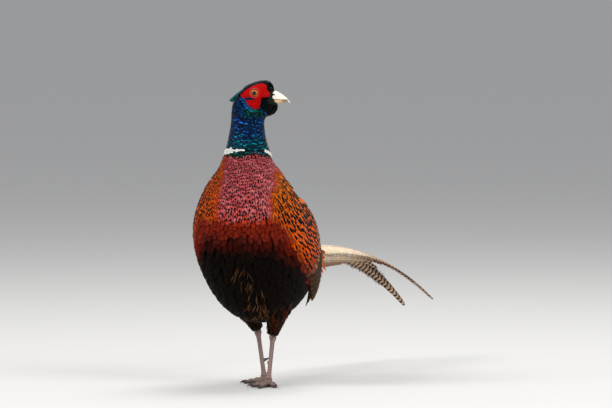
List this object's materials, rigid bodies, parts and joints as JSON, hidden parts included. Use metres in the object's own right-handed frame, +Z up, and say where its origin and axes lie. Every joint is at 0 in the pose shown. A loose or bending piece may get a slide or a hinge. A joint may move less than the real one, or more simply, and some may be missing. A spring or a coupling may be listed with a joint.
{
  "type": "common pheasant cock figure",
  "caption": "Standing ring-necked pheasant cock, head turned to its left, long tail swung slightly left.",
  "frame": {"origin": "middle of the bounding box, at floor level", "axes": "-Y ahead of the bird, +X its left side, +Z up, with the long tail running to +Y"},
  "size_m": [0.1728, 0.7022, 0.4268],
  "materials": {
    "chestnut": "short overlapping body feathers, chestnut with dark tips",
    "neck_blue": "short glossy feathers, dark blue to green",
    "face_red": "matt bare skin with small bumps",
    "ivory": "horn, satin",
    "eye": "wet and glossy",
    "wing_brown": "firm feathers, brown with pale edges",
    "tail_buff": "firm feathers, buff with dark bars",
    "thigh_dark": "soft dark brown feathers",
    "leg_grey": "dry scales, matt",
    "claw": "horn, satin"
  },
  "bodies": {
    "root": {"bill_lower": "ivory", "bill_upper": "ivory", "claw_left_hind": "claw", "claw_left_inner": "claw", "claw_left_middle": "claw", "claw_left_outer": "claw", "claw_right_hind": "claw", "claw_right_inner": "claw", "claw_right_middle": "claw", "claw_right_outer": "claw", "ear_tuft_left": "neck_blue", "ear_tuft_right": "neck_blue", "eye_left": "eye", "eye_right": "eye", "foot_left": "leg_grey", "foot_right": "leg_grey", "head": "neck_blue", "neck": "neck_blue", "spur_left": "claw", "spur_right": "claw", "tail": "tail_buff", "tarsus_left": "leg_grey", "tarsus_right": "leg_grey", "thigh_left": "thigh_dark", "thigh_right": "thigh_dark", "torso": "chestnut", "wattle_left": "face_red", "wattle_right": "face_red", "wing_left": "wing_brown", "wing_right": "wing_brown"}
  },
  "joints": []
}
